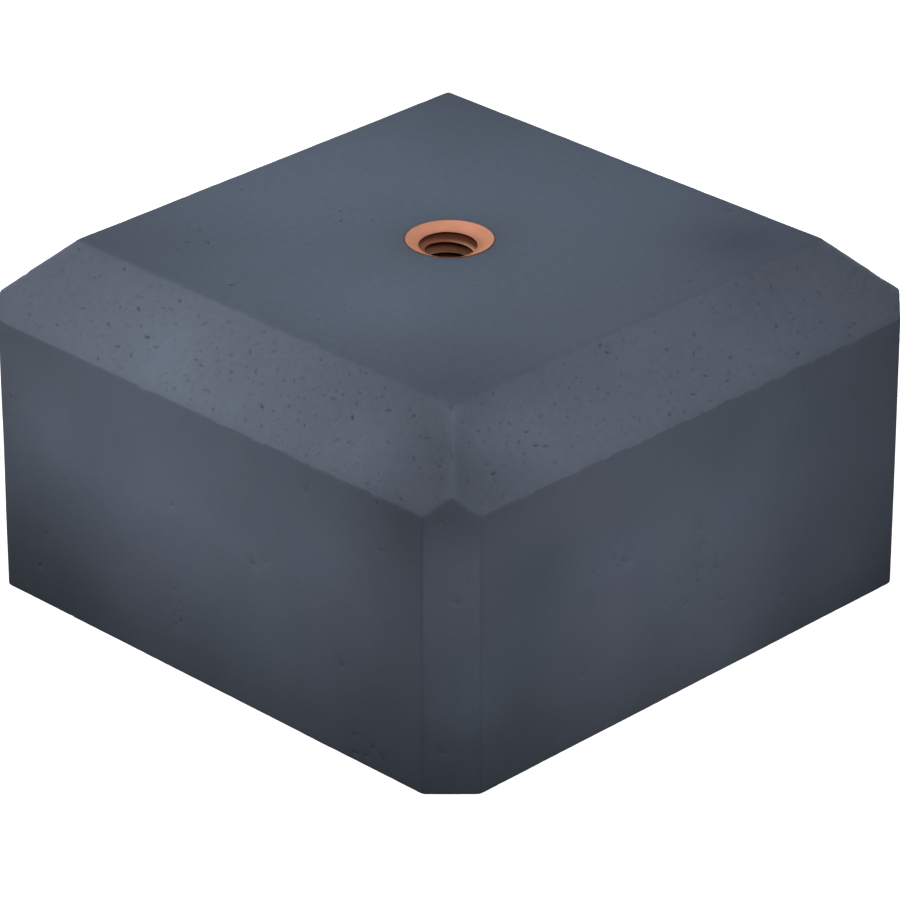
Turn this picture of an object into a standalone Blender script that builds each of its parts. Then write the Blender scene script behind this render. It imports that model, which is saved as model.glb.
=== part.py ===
"""A square concrete pier block with chamfered edges and a threaded metal insert cast into its top.

Units are metres, +Z is up, and the origin is the middle of the underside.
"""

from math import ceil, cos, pi, radians, sin, tan

import bmesh
import bpy
import numpy as np

# The block
block_width = 0.180
block_height = 0.100
top_chamfer_run = 0.020
top_chamfer_drop = 0.020
corner_chamfer_leg = 0.0104
arris_bevel = 0.0006

# The insert's flared mouth, flush with the top
mouth_diameter = 0.024
mouth_lip = 0.0002
mouth_slope = radians(26)
mouth_edge_height = 0.0010

# The right-hand thread inside the insert: 60 degree flanks, narrow crests and flat roots
thread_major_diameter = 0.0165
thread_minor_diameter = 0.0133
thread_pitch = 0.0030
thread_crest_flat = 0.0002
thread_flank_angle = radians(30)
thread_length = 0.045
thread_start_angle = radians(184)

# The drilled bore that the thread is cut into: narrower than its crests, and deeper than its last turn
drill_allowance = 0.0003
thread_runout = 0.005

# The sleeve round the bore, and the collar at its foot that keys it into the concrete
sleeve_wall = 0.0025
floor_thickness = 0.003
collar_overhang = 0.0020
collar_height = 0.006

# What stays open between the concrete and the metal
casting_clearance = 0.0003

# How far a cutter stands out of what it cuts
cutter_overshoot = 0.005

# How finely round shapes are faceted, and which edges stay sharp
round_steps = 48
thread_steps = 36
sharp_angle = radians(25)


def new_scene():
    """Removes every object, so that the file holds this model only."""
    for old in list(bpy.data.objects):
        bpy.data.objects.remove(old, do_unlink=True)


def finish(name, colour, roughness, metallic):
    """Makes a Principled material of one colour, roughness and metallic value."""
    material = bpy.data.materials.new(name)
    material.use_nodes = True
    shader = material.node_tree.nodes["Principled BSDF"]
    shader.inputs["Base Color"].default_value = (*colour, 1.0)
    shader.inputs["Roughness"].default_value = roughness
    shader.inputs["Metallic"].default_value = metallic
    return material


def add_object(name, shape, material=None, is_round=False):
    """Turns a bmesh into an object of its own, with its normals pointing out."""
    bmesh.ops.recalc_face_normals(shape, faces=shape.faces)
    mesh = bpy.data.meshes.new(name)
    shape.to_mesh(mesh)
    shape.free()
    if is_round:
        mesh.shade_smooth()
        mesh.set_sharp_from_angle(angle=sharp_angle)
    item = bpy.data.objects.new(name, mesh)
    bpy.context.collection.objects.link(item)
    if material:
        mesh.materials.append(material)
    return item


def as_cutter(item):
    """Marks an object as a tool for a Boolean, which isn't part of the model."""
    item.hide_render = True
    item.display_type = "WIRE"
    return item


def cut(item, cutter):
    """Takes the cutter's shape out of an object with an exact Boolean."""
    step = item.modifiers.new("cut " + cutter.name, "BOOLEAN")
    step.operation = "DIFFERENCE"
    step.solver = "EXACT"
    step.object = cutter


def turned(outline):
    """Turns an outline of (radius, height) points about Z; both its ends lie on the axis."""
    shape = bmesh.new()
    angles = [2 * pi * step / round_steps for step in range(round_steps)]
    rings = []
    for radius, height in outline:
        turns = angles if radius else [0]
        rings.append([shape.verts.new((radius * cos(a), radius * sin(a), height)) for a in turns])
    for upper, lower in zip(rings, rings[1:]):
        for step in range(round_steps):
            ahead = (step + 1) % round_steps
            if len(upper) == 1:
                shape.faces.new((upper[0], lower[step], lower[ahead]))
            elif len(lower) == 1:
                shape.faces.new((upper[step], upper[ahead], lower[0]))
            else:
                shape.faces.new((upper[step], upper[ahead], lower[ahead], lower[step]))
    return shape


def block_shape():
    """The block is the hull of its corners: a foot, shoulders under the chamfers, gable peaks and the top."""
    half = block_width / 2
    inner = half - corner_chamfer_leg
    top = half - top_chamfer_run
    shoulder = block_height - top_chamfer_drop
    # An upright corner chamfer meets two top chamfers in a peak above its shoulders.
    peak_side = half - corner_chamfer_leg / 2
    peak = shoulder + corner_chamfer_leg / 2 * top_chamfer_drop / top_chamfer_run
    shape = bmesh.new()
    for x in (-1, 1):
        for y in (-1, 1):
            for height in (0, shoulder):
                shape.verts.new((x * half, y * inner, height))
                shape.verts.new((x * inner, y * half, height))
            shape.verts.new((x * peak_side, y * peak_side, peak))
            shape.verts.new((x * top, y * top, block_height))
    bmesh.ops.convex_hull(shape, input=shape.verts)
    bmesh.ops.dissolve_limit(shape, angle_limit=radians(1), verts=shape.verts, edges=shape.edges)
    return shape


def bore_floor():
    """The height of the bore's floor: the thread and its run-out, measured down from the top."""
    return block_height - thread_length - thread_runout


def insert_outside(gap):
    """The insert's outer outline from its rim down to the axis at its foot, grown by a gap on every side."""
    mouth = mouth_diameter / 2 + gap
    sleeve = thread_major_diameter / 2 + sleeve_wall + gap
    collar = sleeve + collar_overhang
    edge = block_height - mouth_edge_height - gap
    neck = edge - (mouth - sleeve) * tan(mouth_slope)
    foot = bore_floor() - floor_thickness - gap
    ledge = bore_floor() - floor_thickness + collar_height + gap
    upper = [(mouth, block_height), (mouth, edge), (sleeve, neck)]
    lower = [(sleeve, ledge), (collar, ledge), (collar, foot), (0, foot)]
    return upper + lower


def insert_shape():
    """The insert before its thread is cut: a sleeve with a closed floor, a plain bore and a flared mouth."""
    mouth = mouth_diameter / 2 - mouth_lip
    bore = thread_minor_diameter / 2 - drill_allowance
    throat = block_height - (mouth - bore) * tan(mouth_slope)
    inside = [(0, bore_floor()), (bore, bore_floor()), (bore, throat), (mouth, block_height)]
    return turned(inside + insert_outside(0))


def hole_shape():
    """The hole the insert sits in: its outside grown by the clearance, and carried up past the top."""
    rim, *rest = insert_outside(casting_clearance)
    above = block_height + cutter_overshoot
    return turned([(0, above), (rim[0], above)] + rest)


def thread_profile():
    """One pitch as (radius, fall) points, from a crest's lower edge to the next crest's upper edge."""
    crest = thread_minor_diameter / 2
    root = thread_major_diameter / 2
    flank = (root - crest) * tan(thread_flank_angle)
    next_crest = thread_pitch - thread_crest_flat
    return [(crest, 0), (root, flank), (root, next_crest - flank), (crest, next_crest)]


def thread_shape():
    """A threaded rod: one pitch of profile wound down a helix, trimmed flat at both ends and closed."""
    profile = thread_profile()
    low = block_height - thread_length
    high = block_height + cutter_overshoot
    # The helix passes the block's top at its start angle, and runs two turns past each end of the rod, so
    # that the trimmed ends are whole sections.
    spare = 2
    start = block_height + (ceil(cutter_overshoot / thread_pitch) + spare) * thread_pitch
    turns = ceil((start - low) / thread_pitch) + spare
    steps = np.arange(turns * thread_steps + 1)
    angle = thread_start_angle - 2 * pi * steps / thread_steps
    fall = thread_pitch * steps / thread_steps
    radius = np.array([point[0] for point in profile])
    drop = np.array([point[1] for point in profile])
    x = radius * np.cos(angle)[:, None]
    y = radius * np.sin(angle)[:, None]
    z = start - fall[:, None] - drop
    shape = bmesh.new()
    rows = [[shape.verts.new(p) for p in row] for row in np.stack([x, y, z], axis=2)]
    for step in range(len(rows) - 1):
        here, ahead = list(rows[step]), list(rows[step + 1])
        if step + 1 + thread_steps < len(rows):
            # The profile's end is the start of the same profile one turn further on.
            here.append(rows[step + thread_steps][0])
            ahead.append(rows[step + 1 + thread_steps][0])
        for k in range(len(here) - 1):
            shape.faces.new((here[k], here[k + 1], ahead[k + 1], ahead[k]))
    for height, side in ((high, 1), (low, -1)):
        everything = list(shape.verts) + list(shape.edges) + list(shape.faces)
        result = bmesh.ops.bisect_plane(
            shape, geom=everything, plane_co=(0, 0, height), plane_no=(0, 0, side), clear_outer=True
        )
        rim = [part for part in result["geom_cut"] if isinstance(part, bmesh.types.BMEdge)]
        bmesh.ops.edgenet_fill(shape, edges=rim)
    return shape


def make_block():
    """The casting: its outline, its slightly worn arrises and the hole for the insert."""
    concrete = finish("anthracite concrete", (0.095, 0.120, 0.155), 0.75, 0.0)
    block = add_object("concrete_block", block_shape(), concrete)
    arris = block.modifiers.new("worn arrises", "BEVEL")
    arris.width = arris_bevel
    arris.segments = 1
    arris.limit_method = "ANGLE"
    arris.angle_limit = sharp_angle
    cut(block, as_cutter(add_object("insert_hole", hole_shape(), is_round=True)))


def make_insert():
    """The metal socket with its thread cut through the flared mouth."""
    copper = finish("coppered metal", (0.60, 0.33, 0.22), 0.35, 1.0)
    insert = add_object("threaded_insert", insert_shape(), copper, is_round=True)
    cut(insert, as_cutter(add_object("thread_cutter", thread_shape(), is_round=True)))


new_scene()
make_block()
make_insert()
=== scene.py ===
# %% [markdown]
# A concrete pier block with a threaded metal insert
#
# A pier block is a small ready-made foundation: a deck post or a joist foot stands on it. This one is cast
# upside down in a smooth mould, in concrete coloured anthracite, and a coppered metal socket with a thread
# is cast into the middle of its top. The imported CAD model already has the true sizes. This file gives the
# two pieces the looks of the real ones: softened arrises, air pits, a cloudy cement skin and turned metal.
# Everything is in metres, +Z is up, and the origin is the middle of the underside.

import bpy
import numpy as np
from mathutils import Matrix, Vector
from mathutils.geometry import delaunay_2d_cdt


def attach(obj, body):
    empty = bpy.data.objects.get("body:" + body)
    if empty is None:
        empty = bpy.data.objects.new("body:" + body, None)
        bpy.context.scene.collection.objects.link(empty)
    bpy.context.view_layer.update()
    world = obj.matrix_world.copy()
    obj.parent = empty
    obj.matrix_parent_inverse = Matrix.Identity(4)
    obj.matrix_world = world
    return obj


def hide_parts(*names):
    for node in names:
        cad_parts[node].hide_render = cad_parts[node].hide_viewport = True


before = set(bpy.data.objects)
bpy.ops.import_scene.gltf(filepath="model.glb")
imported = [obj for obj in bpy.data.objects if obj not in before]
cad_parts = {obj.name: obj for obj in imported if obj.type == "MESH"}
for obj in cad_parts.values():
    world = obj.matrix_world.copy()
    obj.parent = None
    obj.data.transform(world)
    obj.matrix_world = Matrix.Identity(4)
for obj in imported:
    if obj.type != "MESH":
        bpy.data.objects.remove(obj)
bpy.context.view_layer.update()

mm = 0.001

# %% [markdown]
# The camera
#
# A product picture is taken from far away with a long lens, so that the block's edges stay nearly parallel.
# The camera comes first.

# %% The camera at the photograph's viewing angle
camera_azimuth = np.radians(224.786)
camera_elevation = np.radians(26.506)
camera_distance = 1.4582
camera_aim = np.array([0, 0, 0.04994])
picture_width = 900
lens_in_pixels = 5418.79
picture_centre = np.array([449.587, 407.572])

toward_camera = np.array([
    np.cos(camera_azimuth) * np.cos(camera_elevation),
    np.sin(camera_azimuth) * np.cos(camera_elevation),
    np.sin(camera_elevation),
])
lens = bpy.data.cameras.new("camera")
lens.sensor_width = 36
lens.lens = lens_in_pixels * lens.sensor_width / picture_width
lens.shift_x = (picture_width / 2 - picture_centre[0]) / picture_width
lens.shift_y = (picture_centre[1] - picture_width / 2) / picture_width
camera = bpy.data.objects.new("camera", lens)
camera.location = camera_aim + camera_distance * toward_camera
camera.rotation_euler = Vector(toward_camera).to_track_quat("Z", "Y").to_euler()
bpy.context.scene.collection.objects.link(camera)
bpy.context.scene.camera = camera
print("camera", round(camera_distance, 3), "m away, lens", round(lens.lens, 1), "mm")

# %% [markdown]
# The casting's outline
#
# The block is a square prism with its four upright corners cut off at 45 degrees and a chamfer all round its
# top, so it is the space inside fourteen planes. They are kept as arrays, because one formula can then
# soften all the arrises at once.

# %% Sizes of the block and its planes
block_width = 180 * mm
block_height = 100 * mm
top_chamfer = 20 * mm
corner_leg = 10.4 * mm

half = block_width / 2
inner = half - corner_leg
top_half = half - top_chamfer
shoulder = block_height - top_chamfer
peak_side = half - corner_leg / 2
peak_height = shoulder + corner_leg / 2
below_top = block_height - 1e-6

quarter_turns = [np.array([[c, -s, 0], [s, c, 0], [0, 0, 1]])
                 for c, s in ((1, 0), (0, 1), (-1, 0), (0, -1))]
slant = np.sqrt(0.5)
side_plane = ((1, 0, 0), half)
corner_plane = ((slant, slant, 0), (half + inner) * slant)
chamfer_plane = ((slant, 0, slant), (half + shoulder) * slant)
around = [(turn @ normal, reach) for turn in quarter_turns
          for normal, reach in (side_plane, corner_plane, chamfer_plane)]
planes = around + [(np.array([0, 0, 1]), block_height), (np.array([0, 0, -1]), 0)]
plane_normals = np.array([normal for normal, reach in planes], float)
plane_reach = np.array([reach for normal, reach in planes], float)
print(len(planes), "planes; chamfers", top_chamfer / mm, "and corner legs", corner_leg / mm, "mm")

# %% [markdown]
# Uneven by a hair
#
# A mould is never quite flat, and an arris loses a little cement when the block comes out. Both need a
# smooth random height at any point in space. A sum of a few plane waves with random directions and phases
# gives one, and it is the same in every run.

# %% A smooth random height
shortest_wave, longest_wave = 0.75, 1.5
wave_height = 0.6


def waviness(points, wavelength, seed, waves=14):
    """Sum of plane waves of about one wavelength, in random directions: about -1 to 1 at each point.

    Formula: the sum over waves of cos(2 pi (direction . point) / length + phase), times the wave height
    and sqrt(2 / waves).
    """
    chance = np.random.default_rng(seed)
    direction = chance.normal(size=(waves, 3))
    direction /= np.linalg.norm(direction, axis=1)[:, None]
    length = wavelength * chance.uniform(shortest_wave, longest_wave, waves)
    phase = chance.uniform(0, 2 * np.pi, waves)
    total = np.cos(2 * np.pi * (points @ direction.T) / length + phase).sum(axis=1)
    return total * np.sqrt(2 / waves) * wave_height


probe = np.random.default_rng(1).uniform(-half, half, (2000, 3))
print("waviness runs from", np.round(np.quantile(waviness(probe, 20 * mm, 1), [0.01, 0.99]), 2))

# %% [markdown]
# Softened arrises
#
# A cast arris isn't a knife edge: it is round by a few tenths of a millimetre, more where a crumb is gone.
# A Bevel modifier would round all of them alike. A soft maximum of the distances to the planes rounds an
# edge or a corner smoothly, and its radius may change from point to point, so that wear comes for free. The
# hips, the slanting arrises where two chamfers meet, are the roundest of all.

# %% Where the arrises are softer
arris_softness = 0.19 * mm
arris_wear, wear_length = 0.16 * mm, 3.4 * mm
chip_softness, chip_rareness = 0.5 * mm, 0.75
chip_lengths = (9 * mm, 3.1 * mm)
calm_edges, top_wear = 0.25, 1.3
shoulder_softness, shoulder_reach = 0.08 * mm, 5 * mm
hip_softness, hip_reach, hip_fade = 0.35 * mm, 1.8 * mm, 8 * mm


def near_hip(points, reach=hip_reach, aside=0.0):
    """1 on the hips, falling off as a bell curve. With aside, its middle lies that far beside them."""
    off = np.abs(points[:, 0]) - np.abs(points[:, 1]) - aside
    return np.exp(-(off / reach) ** 2) * (points[:, 2] > shoulder) * (points[:, 2] < below_top)


def wear(points):
    """1 at the shoulder, calmer at the other edges, and more at the top's towards the front corner."""
    frontness = np.clip(-(points[:, 0] + points[:, 1]) / block_width, 0, 1) * (points[:, 2] > shoulder)
    at_shoulder = np.abs(points[:, 2] - shoulder) < corner_leg
    return np.where(at_shoulder, 1, calm_edges + top_wear * frontness)


def softness(points):
    """An even part, plus wear and rare chips, plus more along the hips from the gable's peak upwards, plus
    a bell curve of height about the shoulder."""
    crumbs = waviness(points, chip_lengths[0], 5) * waviness(points, chip_lengths[1], 6)
    chips = np.clip(crumbs - chip_rareness, 0, 1)
    wear_and_painted_light = arris_wear * np.abs(waviness(points, wear_length, 3)) + chip_softness * chips
    soft = arris_softness + wear(points) * wear_and_painted_light
    above_gable = np.clip((points[:, 2] - peak_height) / hip_fade, 0, 1)
    soft = soft + hip_softness * near_hip(points) * above_gable
    return soft + shoulder_softness * np.exp(-((points[:, 2] - shoulder) / shoulder_reach) ** 2)


print("softness at the probe's points:", np.round(np.quantile(softness(probe), [0, 0.5, 1]) / mm, 2), "mm")

# %% Softening the faces and arrises
face_hollow, hollow_length = 0.10 * mm, 34 * mm
chamfer_wobble, wobble_length, wobble_reach = 0.34 * mm, 6.5 * mm, 1.6 * mm
soften_steps = 4
is_chamfer = np.isclose(plane_normals[:, 2], slant)


def second_nearest(points):
    """How far points lie below the second nearest plane, as negative numbers."""
    return np.sort(points @ plane_normals.T - plane_reach, axis=1)[:, -2]


def soften(points):
    """Moves points of the sharp block onto its softened surface and returns them with normals and with
    their share of the other planes, which is nil in the middle of a face.

    Formula: with g the distances above the planes, height = s log(sum exp(g / s)), where s is the local
    softness. Each point steps down its slope until the height is nil. All planes but the resting one are
    lowered by a slow unevenness, and the chamfers' by a wobble that dies out away from their edges.
    """
    soft = softness(points)
    hollow = face_hollow * (0.5 + 0.5 * waviness(points, hollow_length, 8))
    raised = np.outer(np.clip(hollow, 0, None), plane_normals[:, 2] > -0.5)
    wobble = chamfer_wobble * (0.5 + 0.5 * waviness(points, wobble_length, 12))
    wobble = wobble * np.exp(second_nearest(points) / wobble_reach) * wear(points)
    raised += np.outer(np.clip(wobble, 0, None), is_chamfer)
    place = points.copy()
    for step in range(soften_steps):
        gap = place @ plane_normals.T - plane_reach + raised
        nearest = gap.max(axis=1)
        share = np.exp((gap - nearest[:, None]) / soft[:, None])
        total = share.sum(axis=1)
        height = nearest + soft * np.log(total)
        slope = (share / total[:, None]) @ plane_normals
        place -= (height / (slope ** 2).sum(axis=1))[:, None] * slope
    normal = slope / np.linalg.norm(slope, axis=1)[:, None]
    edge = 1 - (share / total[:, None]).max(axis=1)
    return place, normal, edge


corner = np.array([[half, inner, shoulder], [top_half, 0, block_height]])
moved = np.linalg.norm(soften(corner)[0] - corner, axis=1)
print("a shoulder and a top arris are softened by", np.round(moved / mm, 2), "mm")

# %% [markdown]
# Where a flat face gets its points
#
# A face needs close rows of points beside its arrises, where it curves, and few in its middle. Each face is
# laid out in its own plane. Rows run parallel to every edge at growing distances, and staggered points fill
# the rest. Neighbouring faces share the points on their common edge, so the shell has no gap.

# %% Edges and rows
arris_step = 1.0 * mm
row_depths = np.array([0.22, 0.5, 0.9, 1.5, 2.4, 3.8]) * mm
row_steps = np.array([1.0, 1.0, 1.1, 1.5, 2.2, 3.4]) * mm
row_slack = 0.98
filler_step = 5.5 * mm
filler_rise = 0.86
filler_shake = 0.15
filler_clearance = 0.45 * filler_step


def between(start, end):
    """Points from start to end, without the end, evenly spaced and the same whichever way they run."""
    count = int(np.ceil(np.linalg.norm(end - start) / arris_step))
    share = np.arange(count) / count
    low, high = (start, end) if tuple(start) < tuple(end) else (end, start)
    if low is end:
        share = 1 - share
    return low + share[:, None] * (high - low)


def flat_frame(corners):
    """A face's plane: its first corner, the directions along and up in it, and its outward normal."""
    along = (corners[1] - corners[0]) / np.linalg.norm(corners[1] - corners[0])
    normal = np.cross(corners[1] - corners[0], corners[2] - corners[1])
    normal /= np.linalg.norm(normal)
    return corners[0], np.array([along, np.cross(normal, along)]), normal


def edge_distance(points, outline):
    """How far points of a face lie inside each edge of its convex outline; both are in its plane."""
    ahead = np.roll(outline, -1, axis=0) - outline
    ahead /= np.linalg.norm(ahead, axis=1)[:, None]
    inward = np.stack([-ahead[:, 1], ahead[:, 0]], axis=1)
    return np.einsum("pek,ek->pe", points[:, None] - outline[None], inward)


def rows_inside(outline):
    """Rows parallel to each edge at the row depths, kept where no other edge is nearer."""
    rows = []
    for start, end in zip(outline, np.roll(outline, -1, axis=0)):
        ahead = (end - start) / np.linalg.norm(end - start)
        inward = np.array([-ahead[1], ahead[0]])
        for depth, step in zip(row_depths, row_steps):
            count = max(2, int(np.linalg.norm(end - start) / step))
            share = (np.arange(count) + 0.5) / count
            row = start + share[:, None] * (end - start) + depth * inward
            rows.append(row[edge_distance(row, outline).min(axis=1) > depth * row_slack])
    return np.concatenate(rows)


def filler_inside(outline, chance):
    """A staggered grid, shaken a little, in the middle of the outline."""
    low, high = outline.min(axis=0), outline.max(axis=0)
    across = np.arange(low[0], high[0], filler_step)
    up = np.arange(low[1], high[1], filler_step * filler_rise)
    grid_x, grid_y = np.meshgrid(across, up)
    grid_x = grid_x + filler_step / 2 * (np.arange(len(up)) % 2)[:, None]
    grid = np.stack([grid_x.ravel(), grid_y.ravel()], axis=1)
    grid += chance.uniform(-filler_shake, filler_shake, grid.shape) * filler_step
    return grid[edge_distance(grid, outline).min(axis=1) > row_depths[-1] + filler_clearance]


print("rows reach", row_depths[-1] / mm, "mm in from each arris")

# %% [markdown]
# Air pits
#
# Air that can't escape from wet concrete is caught against the mould. On this block it stayed at the sloping
# chamfers and hardly anywhere else. A painted pit would have no lip for the light, so these are real
# craters: four rings and a middle point, pushed in along the face's normal, uneven, longer than wide and
# mostly lying level, as bubbles do that crept along the mould. About half of them keep to clusters.

# %% Where the pits are
pit_median, pit_spread = 0.70 * mm, 0.36
pit_smallest, pit_largest = 0.34 * mm, 1.25 * mm
cluster_pits, cluster_spread = 16, 4 * mm
pit_margin = 0.5 * mm
pit_room, pit_distance = 1.6, 1.9
least_stretch, stretch_spread, turn_spread = 1.2, 1.2, 0.6
least_depth, depth_range, depth_shape = 0.2, 0.65, (1.1, 2.6)


def scatter_pits(outline, count, chance):
    """Middles, radii, stretches, turns and depths of up to count pits inside an outline, none touching.

    Twice as many spots are drawn evenly and twice as many in loose clusters, and the first that fit are
    kept. The diameters are log-normal about the median, and most pits are shallow.
    """
    low, high = outline.min(axis=0), outline.max(axis=0)
    even = chance.uniform(low, high, (count * 2, 2))
    clusters = chance.uniform(low, high, (max(1, count // cluster_pits), 2))
    chosen = clusters[chance.integers(0, len(clusters), count * 2)]
    near = chosen + chance.normal(0, cluster_spread, (count * 2, 2))
    middle = np.concatenate([even, near])[chance.permutation(count * 4)]
    size = pit_median * np.exp(chance.normal(0, pit_spread, len(middle)))
    radius = np.clip(size, pit_smallest, pit_largest) / 2
    inside = edge_distance(middle, outline).min(axis=1) > radius * pit_room + pit_margin
    middle, radius = middle[inside], radius[inside]
    apart = np.linalg.norm(middle[:, None] - middle[None], axis=2)
    touching = np.tril(apart < pit_distance * (radius[:, None] + radius[None]), -1).any(axis=1)
    middle, radius = middle[~touching][:count], radius[~touching][:count]
    stretch = least_stretch + np.abs(chance.normal(0, stretch_spread, len(radius)))
    turn = chance.normal(0, turn_spread, len(radius))
    depth = radius * (least_depth + depth_range * chance.beta(*depth_shape, len(radius)))
    return middle, radius, stretch, turn, depth


trial = scatter_pits(np.array([[0, 0], [0.15, 0], [0.15, 0.02], [0, 0.02]]), 200, np.random.default_rng(2))
print("a trial strip holds", len(trial[0]), "pits, median", round(np.median(trial[1]) * 2 / mm, 2), "mm")

# %% The rings of a pit
pit_ring_points = 9
pit_rings = np.array([1.55, 1.1, 0.72, 0.36])
pit_ring_depths = np.array([0.0, 0.18, 0.62, 0.92])
two_lobes, three_lobes = 0.20, 0.15


def pit_points(middle, radius, stretch, turn, depth, chance):
    """Each pit's rings and middle point in the face's plane, with how deep each of them lies.

    Formula: a ring at share q is q r (1 + a cos(2 t + b) + c cos(3 t + d)), stretched along its turn, with
    a and c the two heights of the lobes, and b and d drawn for each pit.
    """
    count = len(radius)
    angle = np.arange(pit_ring_points) / pit_ring_points * 2 * np.pi
    angle = angle[None] + chance.uniform(0, 2 * np.pi, (count, 1))
    two, three = chance.uniform(0, 2 * np.pi, (2, count, 1))
    lobes = two_lobes * np.cos(2 * angle + two) + three_lobes * np.cos(3 * angle + three)
    size = radius[:, None] * (1 + lobes)
    ring = pit_rings[None, :, None] * size[:, None]
    long = ring * np.cos(angle)[:, None] * np.sqrt(stretch)[:, None, None]
    wide = ring * np.sin(angle)[:, None] / np.sqrt(stretch)[:, None, None]
    c, s = np.cos(turn)[:, None, None], np.sin(turn)[:, None, None]
    spot = np.stack([c * long - s * wide, s * long + c * wide], axis=3) + middle[:, None, None]
    deep = np.broadcast_to(pit_ring_depths[None, :, None] * depth[:, None, None], ring.shape)
    return np.concatenate([spot.reshape(-1, 2), middle]), np.concatenate([deep.ravel(), depth])


spots, spot_depths = pit_points(*trial, np.random.default_rng(3))
print("their rings have", len(spots), "points, down to", round(spot_depths.max() / mm, 2), "mm deep")

# %% [markdown]
# One face of the shell
#
# The points of a face are joined into triangles in its own plane. Delaunay's rule picks the triangles that
# are nearest to even-sided, with the outline as fixed edges. The rings of a pit stay rings, because they are
# closer together than anything near them.

# %% Triangles for one face
no_points = np.zeros((0, 3))
pit_clearance = 0.1 * mm
hole_clearance = 8 * mm
pit_hole_clearance = 9 * mm


def join_up(flat, rim_count):
    """Triangles between flat points by Delaunay's rule; the first rim_count points are the outline."""
    loop = np.arange(rim_count)
    fixed = np.stack([loop, np.roll(loop, -1)], axis=1).tolist()
    made = delaunay_2d_cdt([Vector(p) for p in flat / mm], fixed, [], 1, 1e-7)
    order = np.array([same[0] for same in made[3]])
    return order[np.array(made[2])]


def face_patch(corners, pits, seed, extra=no_points, hole_radius=-np.inf):
    """A flat face of the sharp block as (points, depths, triangles), from its corners seen from outside.

    Points in extra are part of it, and a round hole of hole_radius about the block's axis stays open.
    """
    chance = np.random.default_rng(seed)
    origin, directions, normal = flat_frame(corners)
    axis_spot = -origin @ directions.T
    rim = np.concatenate([between(a, b) for a, b in zip(corners, np.roll(corners, -1, axis=0))])
    rim = np.concatenate([rim, extra])
    outline = (corners - origin) @ directions.T
    inside = np.concatenate([rows_inside(outline), filler_inside(outline, chance)])
    inside = inside[np.linalg.norm(inside - axis_spot, axis=1) > hole_radius + hole_clearance]
    middle, radius, *shape = scatter_pits(outline, pits, chance)
    clear = np.linalg.norm(middle - axis_spot, axis=1) > hole_radius + pit_hole_clearance
    middle, radius, shape = middle[clear], radius[clear], [part[clear] for part in shape]
    spots, spot_depth = pit_points(middle, radius, *shape, chance)
    apart = np.linalg.norm(inside[:, None] - middle[None], axis=2)
    inside = inside[(apart > radius * 2 + pit_clearance).all(axis=1)]
    flat = np.concatenate([(rim - origin) @ directions.T, inside, spots])
    depth = np.concatenate([np.zeros(len(rim) + len(inside)), spot_depth])
    triangles = join_up(flat, len(rim) - len(extra))
    from_axis = np.linalg.norm(flat - axis_spot, axis=1)
    triangles = triangles[from_axis[triangles].max(axis=1) > hole_radius * 1.001]
    space = origin + flat @ directions
    space[:len(rim)] = rim
    return space, depth, triangles


strip = np.array([[0, 0, 0], [50, 0, 0], [50, 20, 0], [0, 20, 0]]) * mm
print("a trial face with 9 pits takes", len(face_patch(strip, 9, 4)[2]), "triangles")

# %% [markdown]
# The hole for the insert
#
# The metal is set into the mould first, so the concrete fits it like a glove. The hole is a profile turned
# about the axis. It starts with a ring of points that the top face shares, and follows the outside of the
# insert down to its collar, a hair wider, so that no two faces coincide.

# %% The hole, and rings round its mouth
ring_steps = 120
fit_gap = 0.03 * mm
rim_radius = 12.0 * mm
rim_height = 1.0 * mm
sleeve_radius = 10.75 * mm
collar_radius = 12.75 * mm
collar_top = 53 * mm
insert_foot = 47 * mm
mouth_slope = np.radians(26)
neck_height = block_height - rim_height - (rim_radius - sleeve_radius) * np.tan(mouth_slope)

ring_angle = np.arange(ring_steps) / ring_steps * 2 * np.pi


def ring(radius, height):
    """Points of one level circle about the axis."""
    return np.stack([radius * np.cos(ring_angle), radius * np.sin(ring_angle),
                     np.full(ring_steps, height)], axis=1)


def turned_faces(rows, steps):
    """Triangles between successive rings, and a fan to one last point. Where the rings go up, the
    triangles face away from the axis."""
    here = np.arange(rows - 1)[:, None] * steps + np.arange(steps)[None]
    ahead = np.arange(rows - 1)[:, None] * steps + (np.arange(steps)[None] + 1) % steps
    first = np.stack([here, ahead, ahead + steps], axis=2).reshape(-1, 3)
    second = np.stack([here, ahead + steps, here + steps], axis=2).reshape(-1, 3)
    last = (rows - 1) * steps
    fan = np.stack([last + np.arange(steps), last + (np.arange(steps) + 1) % steps,
                    np.full(steps, rows * steps)], axis=1)
    return np.concatenate([first, second, fan])


def hole_patch():
    """The hole's wall from the top down to its floor: rings of (radius, height), closed by a point."""
    profile = [(rim_radius, block_height), (rim_radius, block_height - rim_height / 2),
               (rim_radius, block_height - rim_height), (sleeve_radius, neck_height),
               (sleeve_radius, collar_top), (collar_radius, collar_top),
               (collar_radius, insert_foot), (collar_radius / 2, insert_foot)]
    drop = np.array([0, 0, 0, 0, 0, 1, -1, -1]) * fit_gap
    rings = [ring(radius + fit_gap, height + d) for (radius, height), d in zip(profile, drop)]
    points = np.concatenate(rings + [[[0, 0, insert_foot - fit_gap]]])
    return points, np.zeros(len(points)), turned_faces(len(rings), ring_steps)


def mouth_rings():
    """Rings on the top face round the hole, from its edge outwards."""
    steps = np.array([0, 0.12, 0.3, 0.6, 1.1, 2.0, 3.5, 5.5, 8.0]) * mm
    return np.concatenate([ring(rim_radius + fit_gap + step, block_height) for step in steps])


print("the hole is", round((rim_radius + fit_gap) * 2 / mm, 2), "mm wide at the top")

# %% [markdown]
# The whole casting
#
# One side, one chamfer and one cut corner are laid out once and turned three times, each with its own pits.
# Points that faces share are merged, then all points of the outside are softened, and the pits are pushed
# in. The rim of the hole is rounded too, by a lip that sinks towards the metal.

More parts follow.
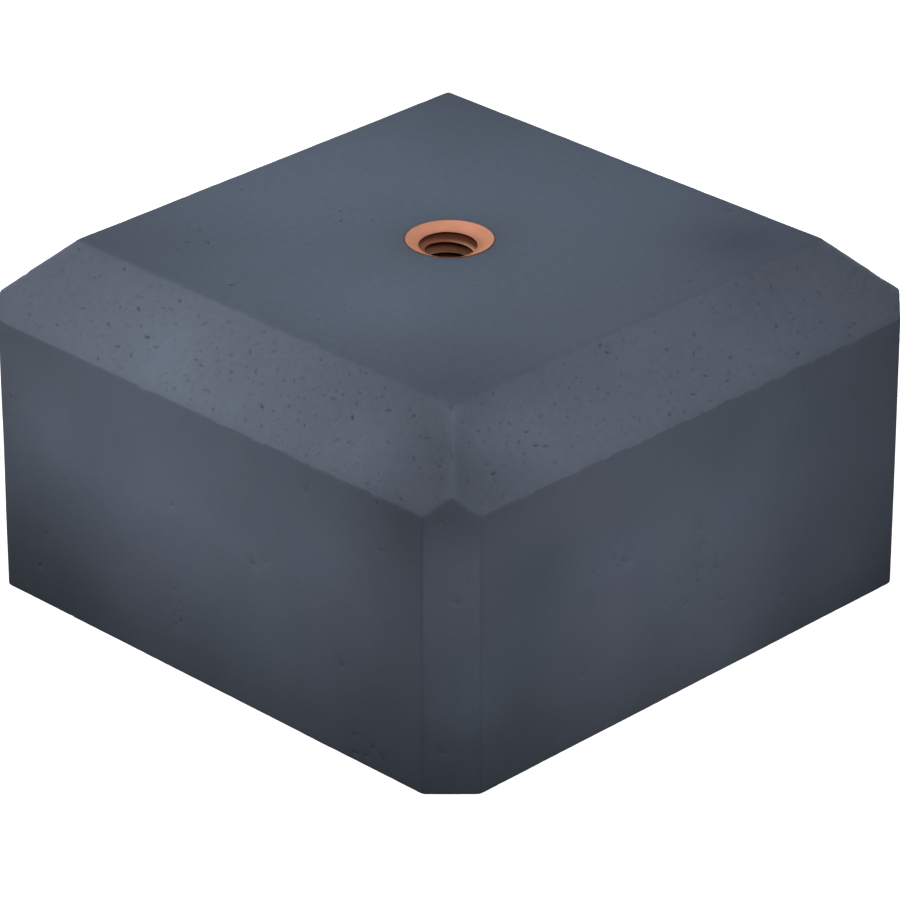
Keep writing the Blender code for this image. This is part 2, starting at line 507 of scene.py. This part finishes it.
# %% The shell of the casting
pits_on_chamfers = [300, 280, 430, 350]
pits_on_sides = [36, 30, 44, 38]
pits_on_corners = 4
pits_on_top = 130

side_corners = np.array([(half, -inner, 0), (half, inner, 0), (half, inner, shoulder),
                         (half, -inner, shoulder)])
chamfer_corners = np.array([(half, -inner, shoulder), (half, inner, shoulder),
                            (peak_side, peak_side, peak_height), (top_half, top_half, block_height),
                            (top_half, -top_half, block_height), (peak_side, -peak_side, peak_height)])
cut_corners = np.array([(half, inner, 0), (inner, half, 0), (inner, half, shoulder),
                        (peak_side, peak_side, peak_height), (half, inner, shoulder)])
top_corners = np.array([(top_half, -top_half, block_height), (top_half, top_half, block_height),
                        (-top_half, top_half, block_height), (-top_half, -top_half, block_height)])
foot_corners = np.array([turn @ point for turn in quarter_turns
                         for point in np.array([(half, -inner, 0), (half, inner, 0)])])[::-1]

patches = []
for number, turn in enumerate(quarter_turns):
    patches.append(face_patch(side_corners @ turn.T, pits_on_sides[number], 20 + number))
    patches.append(face_patch(chamfer_corners @ turn.T, pits_on_chamfers[number], 30 + number))
    patches.append(face_patch(cut_corners @ turn.T, pits_on_corners, 40 + number))
patches.append(face_patch(top_corners, pits_on_top, 50, mouth_rings(), rim_radius + fit_gap))
patches.append(face_patch(foot_corners, 0, 60))
outside = sum(len(points) for points, depth, triangles in patches)
patches.append(hole_patch())
print("the casting has", len(patches), "patches with", sum(len(p[0]) for p in patches), "points")

# %% The patches merged, softened and pitted
lip_drop, lip_reach = 0.14 * mm, 0.22 * mm
lip_unevenness, lip_wave = 0.3, 3 * mm

patch_points, patch_depths, patch_faces = zip(*patches)
all_points, all_depths = np.concatenate(patch_points), np.concatenate(patch_depths)
starts = np.cumsum([0] + [len(points) for points in patch_points[:-1]])
all_faces = np.concatenate([triangles + start for triangles, start in zip(patch_faces, starts)])
rounded = np.round(all_points / mm, 5)
first, place = np.unique(rounded, axis=0, return_index=True, return_inverse=True)[1:]
sharp_points, depths, faces = all_points[first], all_depths[first], place.ravel()[all_faces]
is_outside = first < outside

shell = sharp_points.copy()
normals = np.zeros_like(shell)
edge_share = np.zeros(len(shell))
shell[is_outside], normals[is_outside], edge_share[is_outside] = soften(sharp_points[is_outside])
shell -= depths[:, None] * normals
from_rim = np.linalg.norm(sharp_points[:, :2], axis=1) - rim_radius
is_top = is_outside & (sharp_points[:, 2] > below_top)
lip = np.exp(-np.clip(from_rim, 0, None) / lip_reach)
lip = lip * (1 + lip_unevenness * waviness(sharp_points, lip_wave, 9))
shell[is_top, 2] -= (lip_drop * lip)[is_top]
print("merged into", len(shell), "points and", len(faces), "triangles")

# %% [markdown]
# From arrays to an object
#
# Both pieces go through one helper. It makes the mesh, shades it smooth, rides it on the CAD body and hides
# the CAD node it stands for. The volume, a sum over the triangles of one sixth of a box product, must come
# out positive, or the faces would point inwards, and each edge must have exactly two faces. Numbers kept
# with each point tell the finish how deep in a pit it is, how near to an arris, how much it has of the top's
# own tint, and how strongly it is mottled.

# %% A helper for finished pieces
def add_piece(name, points, triangles, node):
    """Makes an object from points and triangles, and checks that it is closed and faces outwards."""
    mesh = bpy.data.meshes.new(name)
    mesh.from_pydata(points.tolist(), [], triangles.tolist())
    mesh.shade_smooth()
    piece = bpy.data.objects.new(name, mesh)
    bpy.context.scene.collection.objects.link(piece)
    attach(piece, "root")
    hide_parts(node)
    a, b, c = points[triangles[:, 0]], points[triangles[:, 1]], points[triangles[:, 2]]
    volume = np.einsum("ij,ij->i", a, np.cross(b, c)).sum() / 6
    sides = np.sort(triangles[:, [0, 1, 1, 2, 2, 0]].reshape(-1, 2), axis=1)
    uses = np.unique(sides, axis=0, return_counts=True)[1]
    print(name, "has", len(triangles), "triangles,", round(volume / (10 * mm) ** 3, 2), "cm3, open edges:",
          int((uses != 2).sum()))
    return piece


def add_number(piece, name, values):
    """Keeps one number for each point of a piece, for its material to read."""
    attribute = piece.data.attributes.new(name, "FLOAT", "POINT")
    attribute.data.foreach_set("value", values.astype(np.float32))


# %% The casting, and four numbers for its finish
full_pit_depth = 0.32 * mm
arris_gain = 2
top_tint, tint_from, tint_over = 0.8, 0.8, 0.15
side_mottling = 0.45

casting = add_piece("concrete_casting", shell, faces, "concrete_block")
rise = normals[:, 2]
add_number(casting, "pit", np.clip(depths / full_pit_depth, 0, 1))
add_number(casting, "arris", np.clip(edge_share * arris_gain, 0, 1))
add_number(casting, "top", top_tint * np.clip((rise - tint_from) / tint_over, 0, 1))
add_number(casting, "mottled", side_mottling + (1 - side_mottling) * np.clip(rise, 0, 1))
print(int((depths > 0).sum()), "points lie in pits, the deepest by", round(depths.max() / mm, 2), "mm")

# %% [markdown]
# Painted shade and light on the skin
#
# The skin's colour carries painted shade: it is darker along the arrises, in the corners, under the
# shoulder, on the cut corners and most in their gables, round the insert and most of all towards the foot.
# The chamfers and the hips carry painted light. Soft patches make it paler or darker, partly the paste's own
# uneven tone and partly painted light and shade. Every point gets one number, the product of a few smooth
# ramps and bell curves, which follows the block's shape better than a texture would. The patches are listed
# one by one.

# %% What paints shade and light on the skin
# Painted shade at the foot, the corners, under the shoulder, on the cut corners, along the borders, in the
# shoulder line and round the mouth; painted light on the chamfers and the hips.
foot_darkness, foot_reach = 0.42, 48 * mm
corner_darkness, corner_start, corner_reach = 0.22, 82 * mm, 64 * mm
shoulder_darkness, shoulder_fall = 0.22, 60 * mm
cut_corner_tone, chamfer_tone = 0.91, 1.025
gable_shade, gable_reach = 0.25, 11 * mm
side_border, top_border, border_reach = 0.09, 0.06, 4.5 * mm
shoulder_line, line_reach = 0.08, 1.2 * mm
hip_highlight, hip_glow, hip_aside = 0.31, 1.7 * mm, -0.3 * mm
mouth_ring, mouth_ring_reach = 0.16, 5.5 * mm

# Each patch is x, y, z and radius in mm, and how much paler or darker its middle is, partly the paste's own
# tone and partly painted light and shade.
soft_patches = [
    # the left side
    (-90, 58, 4, 24, -0.28), (-90, 60, 54, 9, 0.18), (-90, 15, 54, 14, 0.11), (-90, -48, 60, 9, 0.16),
    (-90, 3, 2, 14, -0.11), (-90, -72, 26, 12, -0.06), (-90, -70, 76, 8, -0.04), (-90, -73, 76, 6, -0.11),
    # the right side
    (14, -90, 4, 14, 0.30), (60, -90, 8, 12, 0.28), (-35, -90, 8, 20, 0.18), (9, -90, 72, 14, -0.08),
    (-59, -90, 54, 8, -0.15), (46, -90, 48, 14, -0.08), (-2, -90, 38, 18, 0.09), (-72, -90, 16, 12, -0.06),
    (-72, -90, 76, 9, 0.09), (-52, -90, 76, 14, 0.07),
    # the front corner
    (-82, -87, 27, 8, 0.20), (-85, -85, 14, 12, 0.12), (-83, -84, 85, 5, -0.08),
    # the left chamfer
    (-83, -54, 87, 9, 0.15), (-81, 21, 89, 8, 0.13), (-79, -75, 92, 6, -0.12), (-75, 42, 96, 7, 0.05),
    (-87, 2, 84, 12, 0.05), (-87, -44, 84, 10, 0.04),
    # the right chamfer
    (-57, -79, 91, 8, 0.20), (-68, -79, 94, 6, 0.20), (62, -82, 92, 12, 0.09), (-40, -80, 90, 8, 0.05),
    (-73, -86, 84, 8, -0.10), (-66, -85, 85, 8, -0.06),
    # the top
    (-1, 50, 100, 22, 0.10), (-42, -16, 100, 14, 0.12), (54, -55, 100, 8, -0.15), (0, 0, 100, 34, 0.05),
    (63, 31, 100, 14, -0.10), (-64, 42, 100, 10, -0.08), (46, -64, 100, 12, -0.08),
    (-42, -64, 100, 9, -0.06), (-70, -70, 100, 3, 0.14), (-60, -62, 100, 5, -0.07),
    # the far sides and their chamfers
    (90, 30, 45, 16, 0.12), (90, -35, 30, 20, 0.14), (40, 90, 50, 15, 0.13), (-30, 90, 35, 20, 0.12),
    (82, 20, 88, 12, 0.10), (-10, 82, 88, 12, 0.10),
]
print(len(soft_patches), "soft patches")


# %% One tone for each point
side_rise, slope_rise, top_rise = 0.3, 0.5, 0.85
least_across = 0.5


def ease(share):
    """A ramp from 0 to 1 with level ends."""
    share = np.clip(share, 0, 1)
    return share * share * (3 - 2 * share)


# Painted shade and light for each point, times the soft patches.
def painted_light_and_tone(points, normals):
    """The product of these parts:

    - ramps up from the foot, in from the upright corners and down from the shoulder on the sides
    - steps for the cut corners, with a shade in their gables, and for the chamfers
    - borders that fall off from the arrises of the sides and of the top, and a line along the shoulder
    - paler hips, a painted highlight, and a darker ring round the insert, painted shade
    - 1 + gain exp(-distance squared / (2 radius squared)) for each soft patch
    """
    from_axis = np.abs(points[:, :2]).min(axis=1)
    below = shoulder - points[:, 2]
    is_upright = np.abs(normals[:, 2]) < side_rise
    on_cut = is_upright & (np.abs(normals[:, :2]).min(axis=1) > least_across)
    on_side = is_upright & ~on_cut
    on_top = normals[:, 2] > top_rise
    on_slope = normals[:, 2] > slope_rise

    foot = 1 - foot_darkness * (1 - np.clip(points[:, 2] / foot_reach, 0, 1))
    cornered = 1 - corner_darkness * (1 - ease((corner_start - from_axis) / corner_reach))
    under = 1 - shoulder_darkness * (1 - ease(below / shoulder_fall))
    under = under * (1 - side_border * np.exp(-below / border_reach))
    gable = cut_corner_tone * (1 - gable_shade * np.exp(-(below / gable_reach) ** 2))
    border = top_border * np.exp(second_nearest(points) / slant / border_reach)
    chamfer = chamfer_tone * (1 - shoulder_line * np.exp(-np.abs(below) / line_reach))
    from_mouth = np.clip(np.linalg.norm(points[:, :2], axis=1) - rim_radius, 0, None)

    tone = foot * np.where(on_cut, gable, cornered) * np.where(on_side, under, 1)
    tone = tone * (1 - border * on_top) * np.where(on_slope & ~on_top, chamfer, 1)
    tone = tone * (1 + hip_highlight * near_hip(points, hip_glow, hip_aside) * on_slope)
    tone = tone * (1 - mouth_ring * np.exp(-from_mouth / mouth_ring_reach) * on_top)
    for x, y, z, radius, gain in soft_patches:
        apart = np.linalg.norm(points / mm - np.array([x, y, z]), axis=1)
        tone = tone * (1 + gain * np.exp(-(apart / radius) ** 2 / 2))
    return tone


# Each point's painted shade and light, kept for the concrete's colour.
painted_tones = painted_light_and_tone(sharp_points, normals)
add_number(casting, "tone", painted_tones)
print("the skin's tone runs from", np.round(np.quantile(painted_tones[is_outside], [0, 1]), 2))

# %% [markdown]
# The threaded insert
#
# The insert is turned from a bar: a shallow cone leads a bolt into a coarse right-hand thread. Its inside is
# one radius for each angle and height. The groove's depth depends only on how far the point lies below the
# helix, and the cone wins where it is wider. The grid is fine near the mouth and coarser further down.

# %% The thread's and the mouth's radius
thread_crest, thread_root = 6.65 * mm, 8.25 * mm
thread_pitch = 3.0 * mm
crest_flat = 0.2 * mm
flank_angle = np.radians(30)
flank_fall = (thread_root - thread_crest) * np.tan(flank_angle)
thread_foot = 55 * mm
thread_start = np.radians(184)
bore_radius = 6.35 * mm
bore_floor = 50 * mm
mouth_radius = 11.8 * mm


def below_helix(angle, height):
    """How far down a point is from the turn of the helix above it. The helix rises by one pitch a turn."""
    helix = block_height + thread_pitch * (angle - thread_start) / (2 * np.pi)
    return (helix - height) % thread_pitch


def thread_radius(angle, height):
    """The groove's radius. Below the helix by d, it grows from the crest as the sine of d over the flank,
    stays at the root, and shrinks in the same way towards the next crest."""
    below = below_helix(angle, height)
    from_crest = np.minimum(below, thread_pitch - crest_flat - below)
    depth = np.sin(np.clip(from_crest / flank_fall, 0, 1) * np.pi / 2)
    return thread_crest + (thread_root - thread_crest) * depth


def cone_radius(height):
    """The mouth's cone: its radius at the top, less the depth over the tangent of its slope."""
    return mouth_radius - (block_height - height) / np.tan(mouth_slope)


def inside_radius(angle, height):
    """The wider of the thread and the cone of the mouth; the plain bore below the thread's foot."""
    inside = np.maximum(thread_radius(angle, height), cone_radius(height))
    return np.where(height < thread_foot, bore_radius, inside)


print("the thread runs from", thread_crest * 2 / mm, "to", thread_root * 2 / mm, "mm wide")

# %% The insert's rings, from the middle of its foot, up its outside and down its inside
turn_steps = 160
collar_round = 0.3 * mm
rim_round, rim_shoulder, rim_flat = 0.10 * mm, 0.03 * mm, 0.05 * mm
fine_start, fine_reach, fine_step = 0.02 * mm, 15 * mm, 0.075 * mm
coarse_rings = 230
bore_step, floor_round = 0.01 * mm, 0.2 * mm

outer_profile = np.array([
    (collar_radius / 2, insert_foot), (collar_radius - collar_round, insert_foot),
    (collar_radius, insert_foot + collar_round), (collar_radius, collar_top - collar_round),
    (collar_radius - collar_round, collar_top), (sleeve_radius, collar_top),
    (sleeve_radius, neck_height), (rim_radius, block_height - rim_height),
    (rim_radius, block_height - rim_round), (rim_radius - rim_shoulder, block_height - rim_shoulder),
    (rim_radius - rim_round, block_height), (mouth_radius + rim_flat, block_height),
])
fine_heights = np.arange(block_height - fine_start, block_height - fine_reach, -fine_step)
coarse_heights = np.linspace(fine_heights[-1], thread_foot, coarse_rings)[1:]
bore_heights = np.array([thread_foot - bore_step, bore_floor + floor_round])
inner_heights = np.concatenate([fine_heights, coarse_heights, bore_heights])

turn_angle = np.arange(turn_steps) / turn_steps * 2 * np.pi
inner_radii = inside_radius(turn_angle[None], inner_heights[:, None])
floor_radii = np.array([bore_radius - floor_round, bore_radius / 2])
radii = np.concatenate([
    np.broadcast_to(outer_profile[:, :1], (len(outer_profile), turn_steps)),
    inner_radii,
    np.broadcast_to(floor_radii[:, None], (2, turn_steps)),
])
heights = np.concatenate([outer_profile[:, 1], inner_heights, [bore_floor, bore_floor]])
grid = np.stack([radii * np.cos(turn_angle), radii * np.sin(turn_angle),
                 np.broadcast_to(heights[:, None], radii.shape)], axis=2)
insert_points = np.concatenate([grid.reshape(-1, 3), [[0, 0, bore_floor], [0, 0, insert_foot]]])
insert_faces = turned_faces(len(radii), turn_steps)
start_fan = np.stack([(np.arange(turn_steps) + 1) % turn_steps, np.arange(turn_steps),
                      np.full(turn_steps, len(insert_points) - 1)], axis=1)
insert = add_piece("insert", insert_points, np.concatenate([insert_faces, start_fan]),
                   "threaded_insert")

# %% [markdown]
# Painted shade and light in the thread
#
# The thread's colour carries painted shade, most of all right under each crest, so the grooves look nearly
# black there and coppery again towards the next. The cone is clean but for painted shade near its inner
# edge, painted shade darkens the lip of its rim, and painted light brightens the lower part of the deeper
# grooves.

# %% One number for the painted shade, and one for the painted light on lower flanks
rim_shade, rim_rings = 0.75, 4
groove_shade = 0.99
cone_shade, cone_shade_reach = 0.16, 0.6 * mm
first_groove, groove_fade = 3.5 * mm, 1.5 * mm
first_least = 0.58
hidden_share, hidden_growth = 0.3, 0.1
first_power, power_growth = 0.82, 0.33
groove_edge = 0.12 * mm
# where the painted light on a groove's lower flank starts and how far it reaches
painted_light_start, painted_light_reach = 0.4, 0.4


def painted_shade_and_light(angle, height, radius):
    """Painted shade and painted light, each from 0 to 1.

    Formula: groove shade times (1 - (1 - least) seen ** power), where seen runs from 0 under the upper crest
    to 1 at the lower one. The cone has only painted shade by its edge, and a deeper groove's lower part gets
    painted light.
    """
    rise = below_helix(angle, height) / (thread_pitch - crest_flat)
    deeper = ease((block_height - height - first_groove) / groove_fade)
    hidden = hidden_share + hidden_growth * deeper
    seen = np.clip((rise - hidden) / (1 - hidden), 0, 1)
    least = first_least * (1 - deeper)
    groove = groove_shade * (1 - (1 - least) * seen ** (first_power + power_growth * deeper))
    cone = cone_radius(height)
    edge_shade = cone_shade * np.exp(-np.clip(cone - thread_root, 0, None) / cone_shade_reach)
    in_groove = ease((radius - np.maximum(cone, thread_crest)) / groove_edge)
    painted_shade = np.where(cone > thread_crest, edge_shade + (1 - edge_shade) * in_groove * groove, groove)
    return painted_shade, deeper * ease((seen - painted_light_start) / painted_light_reach)


painted_shade, wear_and_painted_light = np.zeros(radii.shape), np.zeros(radii.shape)
lip_row = len(outer_profile)
inner_rows = slice(lip_row, lip_row + len(inner_heights))
painted_shade[inner_rows], wear_and_painted_light[inner_rows] = painted_shade_and_light(turn_angle[None], inner_heights[:, None], inner_radii)
# painted shade on the lip of the rim, where the metal meets the concrete
painted_shade[lip_row - rim_rings:lip_row] = rim_shade
# painted shade on the floor of the bore as well
painted_shade[-2:] = groove_shade
add_number(insert, "painted_shade", np.concatenate([painted_shade.ravel(), [groove_shade, 0]]))
add_number(insert, "wear_and_painted_light", np.concatenate([wear_and_painted_light.ravel(), [0, 0]]))
print("the grid has", len(radii), "rings of", turn_steps, "points")

# %% [markdown]
# Building a material
#
# A material is a graph of small nodes. The first helper gives a function that adds one node, sets its values
# and joins its inputs in one line, so that a material reads like a recipe. The others are the four
# ingredients that come again and again.

# %% Helpers for material recipes
def new_recipe(name):
    """A material with its shader, a function that adds a node, and one that joins two sockets."""
    material = bpy.data.materials.new(name)
    material.use_nodes = True
    tree = material.node_tree
    shader = tree.nodes["Principled BSDF"]

    def add(kind, joined=None, **values):
        """A node of one kind, with its values set and its joined inputs linked."""
        node = tree.nodes.new("ShaderNode" + kind)
        for key, value in values.items():
            if hasattr(node, key):
                setattr(node, key, value)
            else:
                node.inputs[key.replace("_", " ")].default_value = value
        for key, source in (joined or {}).items():
            tree.links.new(source, node.inputs[key])
        return node

    return material, shader, add, tree.links.new


def noise(add, place, scale, detail, roughness=0.6, **values):
    """A noise at each place, mostly from 0.3 to 0.7, with its scale in waves per metre."""
    return add("TexNoise", {"Vector": place}, Scale=scale, Detail=detail, Roughness=roughness,
               **values).outputs["Fac"]


def spread(add, value, low, high, start=0.3, end=0.7):
    """A value that runs from start to end, stretched to run from low to high."""
    return add("MapRange", {"Value": value}, From_Min=start, From_Max=end, To_Min=low,
               To_Max=high).outputs[0]


def kept(add, name):
    """One of the numbers that are kept with each point."""
    return add("Attribute", attribute_name=name).outputs["Fac"]


def ramp(add, value, first, last, *others):
    """A colour that follows a value through stops, each of them a position and a colour."""
    node = add("ValToRGB", {"Fac": value})
    for element, (position, colour) in zip(node.color_ramp.elements, (first, last)):
        element.position = position
        element.color = colour
    for position, colour in others:
        node.color_ramp.elements.new(position).color = colour
    return node.outputs["Color"]


# %% [markdown]
# Anthracite concrete
#
# The skin of the block is cement paste with black pigment, fine and matt. It has soft clouds where water and
# pigment gathered, and painted shade darkens its pits. All of it is computed from the place in the block, so
# it
# runs round the corners unbroken: noises give the clouds, the wisps, the mottling and the grain, and the
# numbers kept with each point give the rest, painted shade and light among them.

# %% The concrete's colours and clouds
paste_colour = (0.1078, 0.1283, 0.1690, 1)
green_grey = (0.1060, 0.1292, 0.1675, 1)
violet_grey = (0.1098, 0.1271, 0.1695, 1)
top_grey = (0.1000, 0.1291, 0.1784, 1)

concrete, shader, add, join = new_recipe("anthracite concrete")
place = add("TexCoord").outputs["Object"]
wisps = noise(add, place, 75, 4)
grain = noise(add, place, 2600, 2)
mottle = spread(add, noise(add, place, 480, 3, 0.65), -0.06, 0.06)
mottled = add("Math", {0: mottle, 1: kept(add, "mottled")}, operation="MULTIPLY_ADD")
mottled.inputs[2].default_value = 1.0
factors = [
    spread(add, noise(add, place, 17, 2.5, 0.5), 0.965, 1.035),
    spread(add, wisps, 0.967, 1.033),
    spread(add, grain, 0.96, 1.04),
    mottled.outputs[0],
    # painted shade in the pits
    spread(add, kept(add, "pit"), 1, 0.75, 0, 1),
    spread(add, kept(add, "arris"), 1, 0.98, 0, 1),
    # the painted shade and light of the skin, with its soft patches
    kept(add, "tone"),
]
tone = factors[0]
for factor in factors[1:]:
    tone = add("Math", {0: tone, 1: factor}, operation="MULTIPLY").outputs[0]

tint = noise(add, place, 24, 2, 0.5, noise_dimensions="4D", W=3.7)
hue = ramp(add, tint, (0.36, green_grey), (0.64, violet_grey), (0.5, paste_colour))
coloured = add("Mix", {"Factor": kept(add, "top"), "A": hue}, data_type="RGBA")
coloured.inputs["B"].default_value = top_grey
toned = add("VectorMath", {0: coloured.outputs["Result"], "Scale": tone}, operation="SCALE")
join(toned.outputs[0], shader.inputs["Base Color"])
print("the paste's colour is", paste_colour[:3], "times", len(factors), "factors")

# %% The concrete's roughness and fine relief
skin_relief, grain_relief = 0.05 * mm, 0.02 * mm

join(spread(add, wisps, 0.66, 0.80), shader.inputs["Roughness"])
shader.inputs["Specular IOR Level"].default_value = 0.2
skin = noise(add, place, 420, 4)
relief = add("Bump", {"Height": skin}, Strength=0.25, Distance=skin_relief)
relief = add("Bump", {"Height": grain, "Normal": relief.outputs[0]}, Strength=0.25, Distance=grain_relief)
join(relief.outputs[0], shader.inputs["Normal"])
casting.data.materials.append(concrete)
print("fine relief of", skin_relief / mm, "and", grain_relief / mm, "mm")

# %% [markdown]
# Coppered metal
#
# The insert has a thin coat of copper, satin rather than bright, with faint rings left by the lathe. A Wave
# texture would look too even, so a noise of the distance from the axis and the height gives lines of uneven
# width. Where there is painted shade the colour is first deepened towards red, and painted light brightens
# the lower flanks of the deeper grooves.

# %% The metal's colour, sheen and turning lines
copper_colour = (0.74, 0.325, 0.215, 1)
dull_copper = (0.66, 0.315, 0.18, 1)
painted_light_copper = (0.98, 0.53, 0.35, 1)
shade_colour = (0.024, 0.0030, 0.0004, 1)
ring_scale = 2600

copper, shader, add, join = new_recipe("coppered metal")
place = add("TexCoord").outputs["Object"]
axes = add("SeparateXYZ", {"Vector": place})
flat = add("CombineXYZ", {"X": axes.outputs["X"], "Y": axes.outputs["Y"]})
from_axis = add("VectorMath", {0: flat.outputs[0]}, operation="LENGTH").outputs["Value"]
ring_place = add("CombineXYZ", {"X": from_axis, "Z": axes.outputs["Z"]}).outputs[0]
lines = noise(add, ring_place, ring_scale, 2)
stains = noise(add, place, 240, 3)
stained = spread(add, stains, 0, 1, 0.35, 0.68)
metal_colour = ramp(add, stained, (0, copper_colour), (1, dull_copper))
# where the painted shade lies, the colour is first deepened towards red
warmth = spread(add, kept(add, "painted_shade"), 1, 1.3, 0, 1)
surface = add("Gamma", {"Color": metal_colour, "Gamma": warmth}).outputs["Color"]
# painted light on the lower flanks of the deeper grooves, then painted shade over it
for number, colour in (("wear_and_painted_light", painted_light_copper), ("painted_shade", shade_colour)):
    layer = add("Mix", {"Factor": kept(add, number), "A": surface}, data_type="RGBA")
    layer.inputs["B"].default_value = colour
    surface = layer.outputs["Result"]
join(surface, shader.inputs["Base Color"])
shader.inputs["Metallic"].default_value = 0.12
shader.inputs["Specular IOR Level"].default_value = 0.05
join(spread(add, stains, 0.58, 0.7), shader.inputs["Roughness"])
scratches = add("Bump", {"Height": lines}, Strength=0.3, Distance=0.012 * mm)
join(scratches.outputs[0], shader.inputs["Normal"])
insert.data.materials.append(copper)
print("the metal is", copper_colour[:3], "with rings about", round(1 / ring_scale / mm, 2), "mm apart")

# %% [markdown]
# Floor and surroundings
#
# The picture is a cut-out on white. A floor that gives off its own light has no visible edge against a white
# background, and a share of matt grey in it keeps a faint shadow. It sends no light back to the block, whose
# sides grow darker towards the foot in the picture.

# %% The floor and the background
floor_mesh = bpy.data.meshes.new("floor")
reach = 40.0
floor_corners = [(-reach, -reach, 0), (reach, -reach, 0), (reach, reach, 0), (-reach, reach, 0)]
floor_mesh.from_pydata(floor_corners, [], [(0, 1, 2, 3)])
floor = bpy.data.objects.new("floor", floor_mesh)
floor.location = (0, 0, -0.02 * mm)
bpy.context.scene.collection.objects.link(floor)
white, shader, add, join = new_recipe("white floor")
floor_look = {"Base Color": (0.5, 0.5, 0.5, 1), "Roughness": 1, "Specular IOR Level": 0,
              "Emission Color": (1, 1, 1, 1), "Emission Strength": 0.96}
for name, value in floor_look.items():
    shader.inputs[name].default_value = value
floor_mesh.materials.append(white)
floor.visible_diffuse = False
floor.visible_glossy = False

world = bpy.data.worlds.new("studio")
bpy.context.scene.world = world
world.use_nodes = True
tree = world.node_tree
seen = tree.nodes.new("ShaderNodeLightPath")
backdrop = tree.nodes["Background"]
dim = tree.nodes.new("ShaderNodeMix")
dim.data_type = "RGBA"
dim.inputs["A"].default_value = (0.06, 0.06, 0.06, 1)
dim.inputs["B"].default_value = (1, 1, 1, 1)
tree.links.new(seen.outputs["Is Camera Ray"], dim.inputs["Factor"])
tree.links.new(dim.outputs["Result"], backdrop.inputs["Color"])
bpy.context.scene.view_settings.view_transform = "Standard"
print("floor", reach * 2, "m across, background white")

# %% [markdown]
# Studio light
#
# Product pictures use soft boxes. Close ones make each face brightest where it is nearest to one, which
# gives these plain faces their gentle fall-off. Two boxes light each of the two faces that the camera sees,
# one hangs above, and weaker ones keep the far sides readable.

# %% Soft boxes: direction round the block, elevation, distance, size and power
soft_boxes = {
    "left box": (150, 25, 0.30, 0.15, 0.31),
    "low left box": (180, 12, 0.30, 0.15, 0.23),
    "right box": (255, 25, 0.30, 0.15, 0.255),
    "low right box": (270, 0, 0.30, 0.15, 0.13),
    "high back box": (45, 70, 0.30, 0.15, 0.375),
    "far right box": (315, 25, 0.30, 0.15, 0.07),
    "back fill": (75, 2, 0.34, 0.12, 0.30),
    "side fill": (10, 2, 0.34, 0.12, 0.30),
}
light_centre = Vector((0, 0, 50 * mm))
light_aim = Vector((0, 0, 60 * mm))
for name, (azimuth, elevation, distance, size, power) in soft_boxes.items():
    light = bpy.data.lights.new(name, "AREA")
    light.size = size
    light.energy = power
    a, e = np.radians(azimuth), np.radians(elevation)
    away = Vector((np.cos(a) * np.cos(e), np.sin(a) * np.cos(e), np.sin(e)))
    box = bpy.data.objects.new(name, light)
    box.location = light_centre + distance * away
    box.rotation_euler = (box.location - light_aim).to_track_quat("Z", "Y").to_euler()
    box.visible_camera = False
    bpy.context.scene.collection.objects.link(box)
print(len(soft_boxes), "soft boxes")
